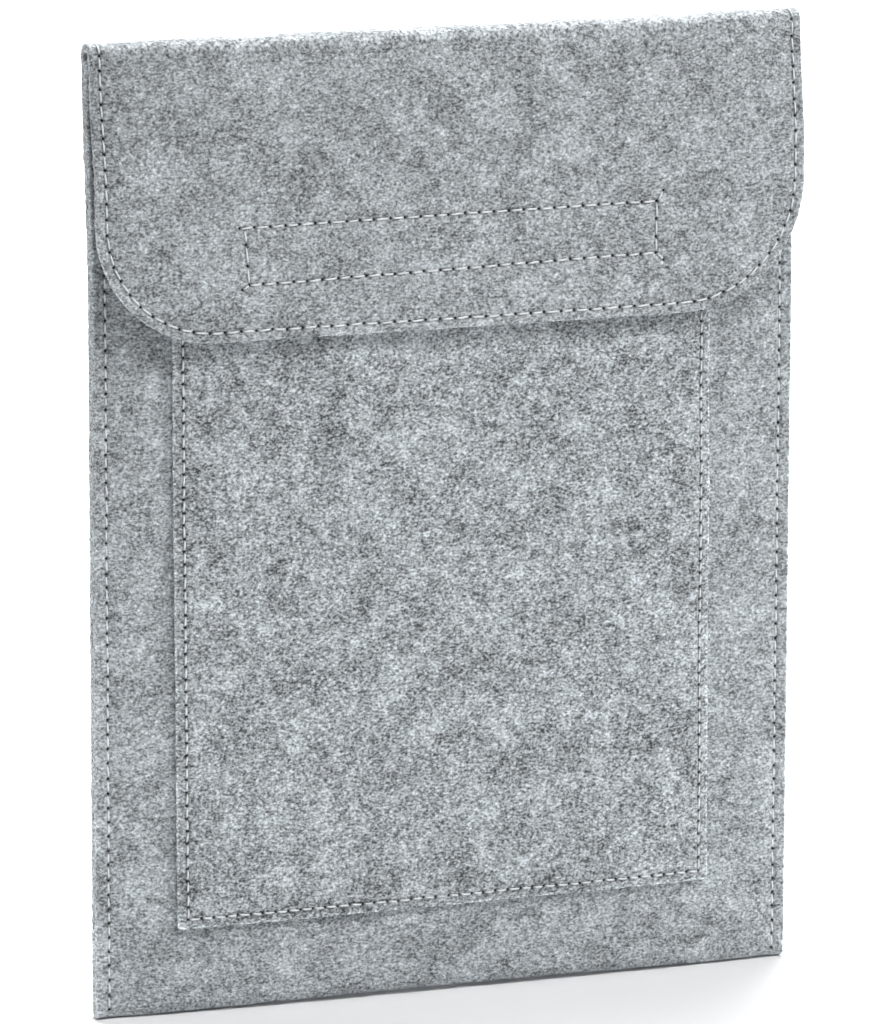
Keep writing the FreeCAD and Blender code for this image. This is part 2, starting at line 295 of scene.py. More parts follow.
# ------------------------
# Outlines and stitch lines, in a strip's own flat coordinates
# ------------------------
def rounded_box(low, high, radii, step, caps=()):
    """A closed anticlockwise outline, and for each of its points the way in from the edge.

    radii are those of the low-low, high-low, high-high and low-high corners. caps names straight ends
    ("low" or "high") that are joined to another piece, where the edge stays square.
    """
    x0, y0, x1, y1 = *low, *high
    corners = [(x0, y0, 1, 1, 180), (x1, y0, -1, 1, 270), (x1, y1, -1, -1, 0), (x0, y1, 1, -1, 90)]
    sides = [(1, 0), (0, 1), (-1, 0), (0, -1)]
    points, inward = [], []
    for k, ((x, y, ix, iy, angle), r, (dx, dy)) in enumerate(zip(corners, radii, sides)):
        if ("low" if k < 2 else "high") in caps:
            points.append((x, y))
            inward.append((ix, 0))
        else:
            n = max(3, int(r * math.pi / 2 / step))
            for i in range(n + 1):
                a = math.radians(angle + 90 * i / n)
                points.append((x + ix * r + r * math.cos(a), y + iy * r + r * math.sin(a)))
                inward.append((-math.cos(a), -math.sin(a)))
        next_x, next_y = corners[(k + 1) % 4][:2]
        next_r = radii[(k + 1) % 4]
        start, end = (x + dx * r, y + dy * r), (next_x - dx * next_r, next_y - dy * next_r)
        joined = ("low" in caps and k == 0) or ("high" in caps and k == 2)
        n = max(1, round(math.dist(start, end) / step))
        for i in range(1, n):
            t = i / n
            points.append((start[0] + (end[0] - start[0]) * t, start[1] + (end[1] - start[1]) * t))
            inward.append((0, 0) if joined else (-dy, dx))
    return np.array(points), np.array(inward, float)


def within(p, low, high, radii, inset, caps):
    """Which points lie inside a rounded box drawn in by inset, or by less at its capped ends."""
    x0, x1 = low[0] + inset, high[0] - inset
    y0 = low[1] + (CAP_INSET if "low" in caps else inset)
    y1 = high[1] - (CAP_INSET if "high" in caps else inset)
    ok = (p[:, 0] > x0) & (p[:, 0] < x1) & (p[:, 1] > y0) & (p[:, 1] < y1)
    corners = [(low[0], low[1], 1, 1), (high[0], low[1], -1, 1),
               (high[0], high[1], -1, -1), (low[0], high[1], 1, -1)]
    for (cx, cy, ix, iy), r in zip(corners, radii):
        ox, oy = cx + ix * r, cy + iy * r
        corner = ((p[:, 0] - ox) * ix < 0) & ((p[:, 1] - oy) * iy < 0)
        far = np.hypot(p[:, 0] - ox, p[:, 1] - oy) > r - inset
        ok &= ~(corner & far)
    return ok


def resample(path, step):
    path = np.asarray(path, float)
    run = np.concatenate([[0], np.cumsum(np.linalg.norm(np.diff(path, axis=0), axis=1))])
    n = max(1, round(run[-1] / step))
    at = np.linspace(0, run[-1], n + 1)
    return np.stack([np.interp(at, run, path[:, k]) for k in (0, 1)], 1)


def seam_holes(path, pitch, wander=0.07):
    """Needle holes along a path, a little uneven."""
    holes = resample(path, pitch)
    if len(holes) > 2:
        along = holes[2:] - holes[:-2]
        along /= np.linalg.norm(along, axis=1, keepdims=True)
        aside = np.stack([-along[:, 1], along[:, 0]], 1)
        n = len(holes) - 2
        holes[1:-1] += along * rng.normal(0, 0.05 * pitch, (n, 1)) + aside * rng.normal(0, wander, (n, 1))
    return holes


def apron_path(half, s_top, s_low, radii):
    """Down one side, round a corner, along the bottom, round the other corner and up again."""
    corners = []
    for r in radii:
        a = np.radians(np.linspace(0, 90, int(r * 1.6) + 2))
        corners.append(np.stack([-half + r - r * np.cos(a), s_low - r + r * np.sin(a)], 1))
    left, right = corners[0], corners[1][::-1] * [-1, 1]
    return np.concatenate([[(-half, s_top)], left, right, [(half, s_top)]])


# ------------------------
# Mesh helpers
# ------------------------
def make_mesh(name, points, faces, attributes=(), smooth_angle=70):
    """A mesh object from points in millimetres and an array or list of faces."""
    mesh = bpy.data.meshes.new(name)
    mesh.from_pydata((np.asarray(points) * MM).tolist(), [], [list(map(int, f)) for f in faces])
    mesh.update()
    mesh.shade_smooth()
    if smooth_angle:
        mesh.set_sharp_from_angle(angle=math.radians(smooth_angle))
    for key, kind, values in attributes:
        a = mesh.attributes.new(key, kind, "POINT")
        field = "vector" if kind == "FLOAT_VECTOR" else "value"
        a.data.foreach_set(field, np.asarray(values, np.float32).ravel())
    obj = bpy.data.objects.new(name, mesh)
    bpy.context.scene.collection.objects.link(obj)
    return obj


def grid_quads(rows, columns):
    """Faces of a grid of points that are listed row by row."""
    i, j = np.meshgrid(np.arange(rows - 1), np.arange(columns - 1), indexing="ij")
    first = i * columns + j
    return np.stack([first, first + 1, first + columns + 1, first + columns], -1).reshape(-1, 4)


def tube_points(centre, guide, radius, sides, flatten=1.0):
    """Rings of points round centre lines, which come as (tube, ring, xyz). guide is roughly the way up."""
    tangent = np.gradient(centre, axis=1)
    tangent /= np.maximum(np.linalg.norm(tangent, axis=-1, keepdims=True), 1e-9)
    across = np.cross(tangent, guide)
    across /= np.linalg.norm(across, axis=-1, keepdims=True)
    up = np.cross(across, tangent)
    angle = (np.arange(sides) * 2 * math.pi / sides)[None, None, :, None]
    ring = np.cos(angle) * across[:, :, None, :] + np.sin(angle) * up[:, :, None, :] * flatten
    return centre[:, :, None, :] + ring * radius


def tube_faces(first, count, rings, sides):
    """Faces of closed tubes whose points follow each other from index first."""
    start = first + (np.arange(count) * rings * sides)[:, None, None]
    i, j = np.arange(rings - 1)[None, :, None], np.arange(sides)[None, None, :]
    k = (j + 1) % sides
    quads = np.stack([start + i * sides + j, start + i * sides + k, start + (i + 1) * sides + k,
                      start + (i + 1) * sides + j], -1).reshape(-1, 4)
    faces = quads.tolist()
    for low in start.ravel().tolist():
        high = low + (rings - 1) * sides
        faces.append(list(range(low, low + sides))[::-1])
        faces.append(list(range(high, high + sides)))
    return faces


def thin_out(points, keep_from, gap):
    """Drop points that lie within gap of an earlier point of the list; the first keep_from all stay."""
    cells = {}
    kept = []
    per_cell = 1.0 / gap
    for i, (x, y) in enumerate(points.tolist()):
        cx, cy = math.floor(x * per_cell), math.floor(y * per_cell)
        around = ((ax, ay) for ax in (cx - 1, cx, cx + 1) for ay in (cy - 1, cy, cy + 1))
        near = (p for cell in around for p in cells.get(cell, ()))
        if i < keep_from or all((px - x) ** 2 + (py - y) ** 2 >= gap * gap for px, py in near):
            cells.setdefault((cx, cy), []).append((x, y))
            kept.append(i)
    return points[kept]


def nearest(points, targets, limit=4.0):
    """Distance from each point to its nearest target, capped at limit."""
    best = np.full(len(points), limit)
    targets = targets[np.argsort(targets[:, 1])]
    rows = np.argsort(points[:, 1])
    for start in range(0, len(rows), 2000):
        block_rows = rows[start:start + 2000]
        block = points[block_rows]
        low, high = block[:, 1].min() - limit, block[:, 1].max() + limit
        near = targets[slice(*np.searchsorted(targets[:, 1], [low, high]))]
        if len(near):
            squared = ((block[:, None, :] - near[None, :, :]) ** 2).sum(-1)
            best[block_rows] = np.minimum(best[block_rows], np.sqrt(squared.min(1)))
    return best


# ------------------------
# Felt
# ------------------------
# How far a seam's thread and a needle hole pull the face in, and how far round them that reaches
GROOVE, GROOVE_REACH = 0.34, 1.15
HOLE_DEPTH, HOLE_REACH = 1.15, 0.42
INNER_HOLE_SHARE = 0.8
PRESS_REACH = 3.2
# A cut edge's section: distance in from the outline, and height as a share of half the thickness
EDGE_PROFILE = [(0.42, 1.0), (0.14, 0.86), (0.02, 0.56), (0.0, 0.0),
                (0.02, -0.56), (0.14, -0.86), (0.42, -1.0)]
EDGE_STEP = 0.8
FUZZ = 0.10
# Mesh rows beside the cut edge as (inset, every nth point), rows beside a stitch line, and rings
# round a needle hole as (points, radius)
EDGE_ROWS = ((1.0, 1), (1.9, 2))
SEAM_ROWS = (0.0, 0.6, -0.6, 1.3, -1.3, 2.1, -2.1)
SEAM_ROW_STEP = 0.75
HOLE_RINGS = ((6, 0.34), (8, 0.75))
POINT_GAP = 0.27
RING_INSET, CAP_INSET = 0.62, 0.35
GRID_SHAKE = 0.25


def beside(line):
    """Unit vectors at right angles to a line, at each of its points."""
    along = np.gradient(line, axis=0)
    along /= np.maximum(np.linalg.norm(along, axis=1, keepdims=True), 1e-9)
    return np.stack([-along[:, 1], along[:, 0]], 1)


def mesh_points(edge, inward, seams, low, high, radii, caps, pitch, r):
    """A panel's mesh points, close together at its cut edge, stitch lines and needle holes.

    The points of the outer ring come first, in order.
    """
    ring = edge + inward * EDGE_PROFILE[0][0]
    holes = np.concatenate([h for _, h in seams])
    sets = [ring, holes]
    for count, radius in HOLE_RINGS:
        a = np.arange(count) * 2 * math.pi / count
        around = holes[:, None, :] + radius * np.stack([np.cos(a), np.sin(a)], 1)[None]
        sets.append(around.reshape(-1, 2))
    sets += [(edge + inward * inset)[::every] for inset, every in EDGE_ROWS]
    for line, _ in seams:
        fine = resample(line, SEAM_ROW_STEP)
        sets += [fine + beside(fine) * off for off in SEAM_ROWS]
    points = thin_out(np.concatenate(sets), len(ring), POINT_GAP)
    # a grid of nearly equal triangles fills the rest
    rows = np.arange(low[1], high[1] + pitch, pitch * 0.866)
    gx, gy = np.meshgrid(np.arange(low[0], high[0] + pitch, pitch), rows)
    gx = gx + (np.arange(len(rows)) % 2)[:, None] * pitch / 2
    grid = np.stack([gx.ravel(), gy.ravel()], 1)
    grid += r.uniform(-GRID_SHAKE, GRID_SHAKE, grid.shape)
    points = np.concatenate([points, grid[nearest(grid, points, 2.0) > pitch * 0.62]])
    inside = within(points, low, high, radii, RING_INSET, caps)
    inside[:len(ring)] = True
    return points[inside]


def triangulate(points, n_ring):
    """Triangles inside the outline that the first n_ring points make, and where those points are now."""
    verts, _, faces, origin, _, _ = delaunay_2d_cdt(
        [Vector(p) for p in points.tolist()], [], [list(range(n_ring))], 1, 1e-7, True)
    flat = np.array([v[:] for v in verts])
    faces = np.array(faces, int)
    a, b, c = flat[faces[:, 0]], flat[faces[:, 1]], flat[faces[:, 2]]
    area = (b[:, 0] - a[:, 0]) * (c[:, 1] - a[:, 1]) - (b[:, 1] - a[:, 1]) * (c[:, 0] - a[:, 0])
    of_ring = np.full(n_ring, -1)
    for new, was in enumerate(origin):
        if was and was[0] < n_ring:
            of_ring[was[0]] = new
    return flat, faces[np.abs(area) > 1e-9], of_ring


def felt_object(name, texture_origin, low, high, radii, point, out, seams, caps=(), pitch=2.3,
                grooves=(1, 1), press=0.0, swell=None, seed=1):
    """A panel of felt with rounded cut edges, its stitch lines pulled in and its needle holes.

    seams is a list of (line, holes). grooves says how much the outer and the inner face are pulled in, and
    how much painted shade their seam grooves and needle holes get.
    press thins the outer face towards the edge; swell is what a tight fold adds to it.
    """
    r = np.random.default_rng(seed)
    edge, inward = rounded_box(low, high, radii, EDGE_STEP, caps)
    n_ring = len(edge)
    flat, faces, of_ring = triangulate(
        mesh_points(edge, inward, seams, low, high, radii, caps, pitch, r), n_ring)
    n = len(flat)
    to_line = nearest(flat, np.concatenate([resample(line, 0.3) for line, _ in seams]))
    to_hole = nearest(flat, np.concatenate([holes for _, holes in seams]))
    dip = GROOVE * np.exp(-(to_line / GROOVE_REACH) ** 2)
    # hole shapes the needle holes' dips and is also the mask of their painted shade
    hole = np.exp(-(to_hole / HOLE_REACH) ** 2)
    # mask of painted shade along the stitch lines
    groove_shade = np.exp(-(to_line / 0.8) ** 2)
    top = FELT / 2 - grooves[0] * (dip + HOLE_DEPTH * hole)
    bottom = FELT / 2 - grooves[1] * (dip + HOLE_DEPTH * INNER_HOLE_SHARE * hole)
    if press:
        top = top - press * np.exp(-(nearest(flat, edge, 8.0) / PRESS_REACH) ** 2)
    if swell:
        top = top + swell(flat[:, 1])
    # the cut edge's rows and its outer ring carry a painted highlight, in part the paler cut fibre ends
    rim = np.zeros(n)
    rim[of_ring] = 0.5
    # blocks of points: flat place, height off the mid-surface, painted shade of the needle holes, painted
    # shade of the seam grooves, painted highlight of the cut edge
    blocks = [(flat, top, hole * grooves[0], groove_shade * grooves[0], rim),
              (flat, -bottom, hole * grooves[1], groove_shade * grooves[1], rim)]
    face_list = faces.tolist() + (faces[:, ::-1] + n).tolist()
    # the cut edge, in rows from the outer face to the inner one
    ragged = r.normal(0, 1, (len(EDGE_PROFILE), n_ring))
    ragged = (ragged + np.roll(ragged, 1, 1) * 0.9 + np.roll(ragged, -1, 1) * 0.9) / 1.6
    ragged = ragged * (np.abs(inward).sum(1) > 0)
    loops = [of_ring]
    for k, (inset, share) in enumerate(EDGE_PROFILE[1:-1], start=1):
        row = edge + inward * (inset + FUZZ * ragged[k])[:, None]
        height = np.where(share > 0, top[of_ring], bottom[of_ring]) * share
        height = height + FUZZ / 2 * ragged[(k + 2) % len(EDGE_PROFILE)]
        blocks.append((row, height, np.zeros(n_ring), np.zeros(n_ring), np.ones(n_ring)))
        loops.append(2 * n + (k - 1) * n_ring + np.arange(n_ring))
    loops.append(of_ring + n)
    for upper, lower in zip(loops, loops[1:]):
        face_list += np.stack([np.roll(upper, -1), upper, lower, np.roll(lower, -1)], 1).tolist()
    place, w, hole, groove_shade, cut = (np.concatenate(column) for column in zip(*blocks))
    space = with_offset(point, place[:, 0], place[:, 1], w, out)
    grain = np.stack([space[:, 0] + texture_origin[0], place[:, 1] + texture_origin[1], w], 1)
    return make_mesh(name, space, face_list, [
        ("grain", "FLOAT_VECTOR", grain), ("needle_hole_shade", "FLOAT", hole), ("seam_groove_shade", "FLOAT", groove_shade),
        ("cut_edge", "FLOAT", cut)])


# ------------------------
# Seams: lines and needle holes in flat coordinates
# ------------------------
SIDE_INSET, EDGE_INSET, POCKET_INSET = 4.5, 3.5, 3.5
# Stitch lengths. The rectangle's are those along it and those up its ends
SIDE_STITCH, EDGE_STITCH, POCKET_STITCH, TAPE_STITCH = 5.2, 5.6, 4.5, 5.4
BOX_STITCHES = (5.4, 6.2)
# Ends of the side seams, above the ground and below the mouth
SIDE_SEAM_LOW_Z, SIDE_SEAM_DROP = 3.4, 1.4
# The stitched rectangle that holds the hook tape, as (x, z), sewn a little askew as on the real one.
# Its upper line starts before its corner, and back-tack stitches run on beyond the other three
BOX_CORNERS = ((-77.2, 279.3), (74.0, 280.3), (73.7, 262.1), (-76.0, 259.5))
BOX_START = (-1.8, 0.0)
BACK_TACKS = ((1, (2.6, 3.6)), (2, (2.9, -2.6)), (3, (-2.3, -1.4)))


def front_s(z):
    return MOUTH_Z - z


def back_s(z):
    return S_BACK_FOOT + z - WALL_LOW_Z


def on_strip(holes, to_s):
    """Needle holes that are given as (x, z), in a strip's flat coordinates."""
    return np.stack([holes[:, 0], to_s(holes[:, 1])], 1)


side_seams = {}
for side, sign in (("left", -1), ("right", 1)):
    x = sign * (HALF - SIDE_INSET)
    side_seams[side] = seam_holes([(x, SIDE_SEAM_LOW_Z), (x, MOUTH_Z - SIDE_SEAM_DROP)], SIDE_STITCH)

front_lines, back_lines = [], []
for holes in side_seams.values():
    for to_s, lines in ((front_s, front_lines), (back_s, back_lines)):
        run = on_strip(holes, to_s)
        lines.append((run[[0, -1]], run))

flap_end = flap_s(FLAP_LOW + 0.12)
edge_half = FLAP_HALF - EDGE_INSET
edge_radii = (FLAP_R_LEFT - EDGE_INSET, FLAP_R_RIGHT - EDGE_INSET)
edge_path = apron_path(edge_half, 1.6, flap_end - EDGE_INSET, edge_radii)
edge_holes = seam_holes(edge_path, EDGE_STITCH)

# the same edge stitching on the back half of the roll, one stitch on each side
roll_runs = []
for sign in (-1, 1):
    x = sign * edge_half * HALF / FLAP_HALF
    run = np.array([(x, S_ROLL - 0.9), (x, S_ROLL_MID - 3.6)])
    roll_runs.append(run)
    back_lines.append((np.array([run[0], (x, S_ROLL_MID - 0.1)]), run))

box_runs = []
for k in range(4):
    a, b = np.array(BOX_CORNERS[k]), np.array(BOX_CORNERS[(k + 1) % 4])
    start = a + BOX_START if k == 0 else a
    box_runs.append(on_strip(seam_holes([start, b], BOX_STITCHES[k % 2], wander=0.08), flap_s))
for corner, (dx, dz) in BACK_TACKS:
    x, z = BOX_CORNERS[corner]
    box_runs.append(np.array([(x + 0.25, flap_s(z + 0.1)), (x + dx, flap_s(z + dz))]))

pocket_left = -POCKET_HALF + POCKET_INSET
pocket_top = POCKET_HEIGHT - 1.5
pocket_path = np.array([(pocket_left, pocket_top), (pocket_left, POCKET_INSET),
                        (-pocket_left, POCKET_INSET), (-pocket_left, pocket_top)])
pocket_runs = [seam_holes(pocket_path[k:k + 2], POCKET_STITCH) for k in range(3)]


# ------------------------
# The felt pieces
# ------------------------
def bottom_swell(s):
    """A folded felt keeps a fuller corner than a round bend."""
    run = s - S_FRONT_FOOT
    quarter = math.pi / 2 * BOTTOM_R
    corners = (quarter / 2, S_BOTTOM - quarter / 2)
    return 0.5 * sum(np.exp(-((run - at) / (0.42 * quarter)) ** 2) for at in corners)


front = felt_object(
    "felt_front", (0, 0), (-HALF, 0.0), (HALF, S_UNDER), (1.2, 1.2, 0, 0), body_point, 1, front_lines,
    caps=("high",), grooves=(1, 0), swell=bottom_swell, seed=11, pitch=2.6)
back = felt_object(
    "felt_back", (0, 0), (-HALF, S_UNDER), (HALF, S_ROLL_MID), (0, 0, 0, 0), body_point, 1, back_lines,
    caps=("low", "high"), grooves=(1, 0), swell=bottom_swell, seed=14, pitch=2.6)
flap = felt_object(
    "felt_flap", (0, S_ROLL_MID), (-FLAP_HALF, 0.0), (FLAP_HALF, flap_end), (0, 0, FLAP_R_RIGHT, FLAP_R_LEFT),
    flap_point, 1, [(edge_path, edge_holes)] + [(run[[0, -1]], run) for run in box_runs],
    caps=("low",), grooves=(1, 0.8), seed=12)
pocket = felt_object(
    "felt_pocket", (37, -211), (-POCKET_HALF, 0.0), (POCKET_HALF, POCKET_HEIGHT), (1.0, 1.0, 1.0, 1.0),
    pocket_point, -1, [(pocket_path[k:k + 2], pocket_runs[k]) for k in range(3)],
    grooves=(1, 0), press=1.3, seed=13)

# ------------------------
# Thread
# ------------------------
THREAD_R = 0.33
STITCH_RINGS, STITCH_SIDES = 11, 6
# A stitch starts this far from its needle hole, lies across its seam by a little, and dives this
# deep below the felt's face at its ends
STITCH_START = 0.26
STITCH_SLANT = 0.12
STITCH_DIVE = 1.25
UNEVEN = 0.06
# How deep a stitch lies in the felt: just below the face, or drawn in where the felt is pressed
LYING, DRAWN_IN = 0.06, 0.34


def thread_object(name, runs, thickness=FELT, sunk=LYING, seed=5):
    """The stitches of some seams as tubes, lying sunk below the face between their needle holes.

    A run is (holes, point, out, face), face 1 outside and -1 inside.
    """
    r = np.random.default_rng(seed)
    q = np.linspace(0, 1, STITCH_RINGS)
    ends = np.abs(2 * q - 1) ** 4
    fat = THREAD_R * (1 - 0.35 * np.abs(2 * q - 1) ** 5)[None, :, None, None]
    angle = np.arange(STITCH_SIDES) * 2 * math.pi / STITCH_SIDES
    points, faces, along, dive_shade = [], [], [], []
    count = 0
    for holes, point, out, face in runs:
        a, b = holes[:-1], holes[1:]
        n = len(a)
        length = np.linalg.norm(b - a, axis=1, keepdims=True)
        direction = (b - a) / length
        aside = np.stack([-direction[:, 1], direction[:, 0]], 1)
        slant = STITCH_SLANT + r.normal(0, UNEVEN, (n, 1))
        a = a + direction * STITCH_START + aside * slant * face
        b = b - direction * STITCH_START - aside * slant * face
        flat = a[:, None, :] + (b - a)[:, None, :] * q[None, :, None]
        crest = thickness / 2 - sunk + r.normal(0, UNEVEN, (n, 1))
        w = crest - (crest - (thickness / 2 - STITCH_DIVE)) * ends[None, :]
        u, s, w = flat[..., 0].ravel(), flat[..., 1].ravel(), w.ravel() * face
        centre = with_offset(point, u, s, w, out).reshape(n, STITCH_RINGS, 3)
        above = with_offset(point, u, s, w + 0.5, out).reshape(n, STITCH_RINGS, 3)
        points.append(tube_points(centre, above - centre, fat, STITCH_SIDES, flatten=0.85).reshape(-1, 3))
        spot = np.zeros((n, STITCH_RINGS, STITCH_SIDES, 3))
        spot[..., 0] = q[None, :, None] * length[:, None, :]
        spot[..., 1] = angle[None, None, :] * THREAD_R
        spot[..., 2] = r.uniform(0, 900, n)[:, None, None]
        along.append(spot.reshape(-1, 3))
        # painted shade along the ends of a stitch, where it dives into its needle hole
        dive_shade.append(np.repeat(np.tile(ends, n), STITCH_SIDES))
        faces += tube_faces(count, n, STITCH_RINGS, STITCH_SIDES)
        count += n * STITCH_RINGS * STITCH_SIDES
    return make_mesh(name, np.concatenate(points), faces, [
        ("along", "FLOAT_VECTOR", np.concatenate(along)), ("dive_shade", "FLOAT", np.concatenate(dive_shade))],
        smooth_angle=None)


def pocket_hole_on_front(run):
    place = pocket_point(run[:, 0], run[:, 1])
    return np.stack([place[:, 0] * HALF / half_width(place[:, 2]), front_s(place[:, 2])], 1)


threads = {}


def sew(key, runs, **settings):
    """Add one seam's thread, under its key."""
    threads[key] = thread_object(f"{key}_stitches", runs, **settings)


for side, holes in side_seams.items():
    for role, to_s, seed in (("needle", front_s, 21), ("bobbin", back_s, 22)):
        sew(f"{side}_seam_{role}", [(on_strip(holes, to_s), body_point, 1, 1)], sunk=DRAWN_IN, seed=seed)
sew("pocket_seam_needle", [(run, pocket_point, -1, 1) for run in pocket_runs], sunk=DRAWN_IN, seed=23)
sew("pocket_seam_bobbin", [(pocket_hole_on_front(run), body_point, 1, -1) for run in pocket_runs], seed=24)
sew("flap_edge_needle", [(edge_holes, flap_point, 1, 1)], seed=25)
sew("flap_edge_bobbin", [(edge_holes, flap_point, 1, -1)], seed=26)
sew("hook_strip_needle", [(run, flap_point, 1, 1) for run in box_runs], seed=27)
sew("fold_edge_needle", [(run, body_point, 1, 1) for run in roll_runs], seed=28)
sew("fold_edge_bobbin", [(run, body_point, 1, -1) for run in roll_runs], seed=29)

# ------------------------
# Hook tape and loop tape
# ------------------------
TAPE_HALF = loop_high[0]
TAPE_HEIGHT = loop_high[2] - loop_low[2]
TAPE_INSET = 2.7
# Points of the base's mesh across and up, and the pile's clear margin at the tape's edge
TAPE_COLUMNS, TAPE_ROWS = 106, 26
PILE_MARGIN = 1.7
HOOK_WIRE, LOOP_FIBRE = 0.085, 0.05
HOOK_STEM = 0.42
HOOK_BEND = 0.26


def tape_runs():
    x, low, high = TAPE_HALF - TAPE_INSET, TAPE_INSET, TAPE_HEIGHT - TAPE_INSET
    corners = [(-x, high), (x, high), (x, low), (-x, low), (-x, high)]
    return [seam_holes(corners[k:k + 2], TAPE_STITCH) for k in range(4)]


def tape_base(point, out, r):
    """The woven base: points, faces, and the flat place of each point."""
    gs, gu = np.meshgrid(np.linspace(0, TAPE_HEIGHT, TAPE_ROWS),
                         np.linspace(-TAPE_HALF, TAPE_HALF, TAPE_COLUMNS), indexing="ij")
    gu, gs = gu.ravel(), gs.ravel()
    n = len(gu)
    rib = 0.035 * np.cos(gs * 2 * math.pi / 1.9) + 0.02 * r.normal(0, 1, n)
    edge = np.minimum(TAPE_HALF - np.abs(gu), np.minimum(gs, TAPE_HEIGHT - gs))
    selvage = 0.12 * np.exp(-((edge - 0.6) / 0.6) ** 2)
    outer = with_offset(point, gu, gs, TAPE / 2 + rib + selvage, out)
    inner = with_offset(point, gu, gs, np.full(n, -TAPE / 2), out)
    quads = grid_quads(TAPE_ROWS, TAPE_COLUMNS)
    grid = np.arange(n).reshape(TAPE_ROWS, TAPE_COLUMNS)
    rim = np.concatenate([grid[0], grid[1:, -1], grid[-1, -2::-1], grid[-2:0:-1, 0]])
    after = np.roll(rim, -1)
    around = np.stack([rim, rim + n, after + n, after], 1)
    if out > 0:
        blocks = (quads, quads[:, ::-1] + n, around)
    else:
        blocks = (quads[:, ::-1], quads + n, around[:, ::-1])
    flat = np.stack([gu, gs, np.zeros(n)], 1)
    return np.concatenate([outer, inner]), np.concatenate(blocks).tolist(), np.concatenate([flat, flat])


def pile_places(step_u, step_s):
    """Where hooks or loops stand, in staggered rows that leave the stitching free."""
    cs = np.arange(PILE_MARGIN, TAPE_HEIGHT - PILE_MARGIN + 0.1, step_s)
    u, s = np.meshgrid(np.arange(-TAPE_HALF + PILE_MARGIN, TAPE_HALF - PILE_MARGIN + 0.1, step_u), cs)
    u = u + (np.arange(len(cs)) % 2)[:, None] * step_u / 2
    u, s = u.ravel(), s.ravel()
    seam_s = np.array([TAPE_INSET, TAPE_HEIGHT - TAPE_INSET])
    off_ends = np.abs(np.abs(u) - (TAPE_HALF - TAPE_INSET)) >= 0.75
    off_lines = np.abs(s[:, None] - seam_s).min(1) >= 0.75
    keep = off_ends & off_lines & (np.abs(u) < TAPE_HALF - 1.3)
    return u[keep], s[keep]


def hook_lines(r):
    """Centre lines of the hooks: a wire goes straight up, over and a little down again."""
    u, s = pile_places(1.55, 1.5)
    m, t = len(u), np.linspace(0, 1, 7)
    way = np.where(np.arange(m) % 2 == 0, 1.0, -1.0)
    bend = math.pi * 1.15 * np.clip((t - 0.3) / 0.7, 0, 1)
    lift = np.where(t < 0.3, t / 0.3 * HOOK_STEM, HOOK_STEM) + HOOK_BEND * np.sin(bend)
    reach = HOOK_BEND * (1 - np.cos(bend))
    du = np.zeros((m, len(t))) + r.normal(0, 0.03, (m, 1))
    ds = way[:, None] * reach[None] + r.normal(0, 0.03, (m, 1))
    return u[:, None] + du, s[:, None] + ds, np.broadcast_to(lift, du.shape)


def loop_lines(r):
    """Centre lines of the loops, each a soft arch that leans any way."""
    u, s = pile_places(1.5, 1.35)
    m, t = len(u), np.linspace(0, 1, 8)
    u, s = u + r.uniform(-0.5, 0.5, m), s + r.uniform(-0.5, 0.5, m)
    turn = r.uniform(0, 2 * math.pi, m)[:, None]
    size = r.uniform(0.35, 0.75, m)[:, None]
    sweep, span = np.sin(math.pi * t)[None], ((t - 0.5) * 2)[None]
    tilt = r.normal(0, 0.45, m)[:, None]
    du = size * (np.cos(turn) * span - np.sin(turn) * sweep * tilt)
    ds = size * (np.sin(turn) * span + np.cos(turn) * sweep * tilt)
    return u[:, None] + du, s[:, None] + ds, size * sweep * 0.95


def tape_piece(name, point, out, pile_lines, radius, sides, seed):
    """A woven tape base with a field of hooks or loops on its free face."""
    r = np.random.default_rng(seed)
    base, faces, base_flat = tape_base(point, out, r)
    u, s, lift = pile_lines(r)
    m, rings = u.shape
    lift = lift + TAPE / 2 - 0.02
    centre = with_offset(point, u.ravel(), s.ravel(), lift.ravel(), out).reshape(m, rings, 3)
    pile = tube_points(centre, np.zeros_like(centre) + [0.93, 0.13, 0.35], radius, sides).reshape(-1, 3)
    pile_flat = np.repeat(np.stack([u.ravel(), s.ravel(), lift.ravel()], 1), sides, axis=0)
    faces += tube_faces(len(base), m, rings, sides)
    return make_mesh(name, np.concatenate([base, pile]), faces, [
        ("weave", "FLOAT_VECTOR", np.concatenate([base_flat, pile_flat])),
        ("pile", "FLOAT", np.concatenate([np.zeros(len(base)), np.ones(len(pile))]))], smooth_angle=50)


loop_tape = tape_piece("loop_tape", loop_tape_point, -1, loop_lines, LOOP_FIBRE, sides=3, seed=31)
hook_tape = tape_piece("hook_tape", hook_tape_point, 1, hook_lines, HOOK_WIRE, sides=4, seed=32)


def loop_hole_on_front(run):
    x, z = run[:, 0], loop_low[2] + run[:, 1]
    return np.stack([x * HALF / half_width(z), front_s(z)], 1)


def box_hole_on_tape(run):
    z = WALL_TOP_Z - (run[:, 1] - S_HALF_ROLL) * FLAP_COS
    return np.stack([run[:, 0], z - hook_low[2]], 1)


on_tape = TAPE + 0.5
loop_runs = tape_runs()
sew("loop_strip_needle", [(run, loop_tape_point, -1, 1) for run in loop_runs], thickness=on_tape, seed=33)
sew("loop_strip_bobbin", [(loop_hole_on_front(run), body_point, 1, -1) for run in loop_runs], seed=34)
sew("hook_strip_bobbin", [(box_hole_on_tape(run), hook_tape_point, 1, 1) for run in box_runs[:4]],
    thickness=on_tape, seed=35)


# ------------------------
# Materials
# ------------------------
def new_material(name):
    material = bpy.data.materials.new(name)
    material.use_nodes = True
    tree = material.node_tree
    tree.nodes.clear()
    output = tree.nodes.new("ShaderNodeOutputMaterial")
    shader = tree.nodes.new("ShaderNodeBsdfPrincipled")
    tree.links.new(shader.outputs["BSDF"], output.inputs["Surface"])
    return material, tree, shader


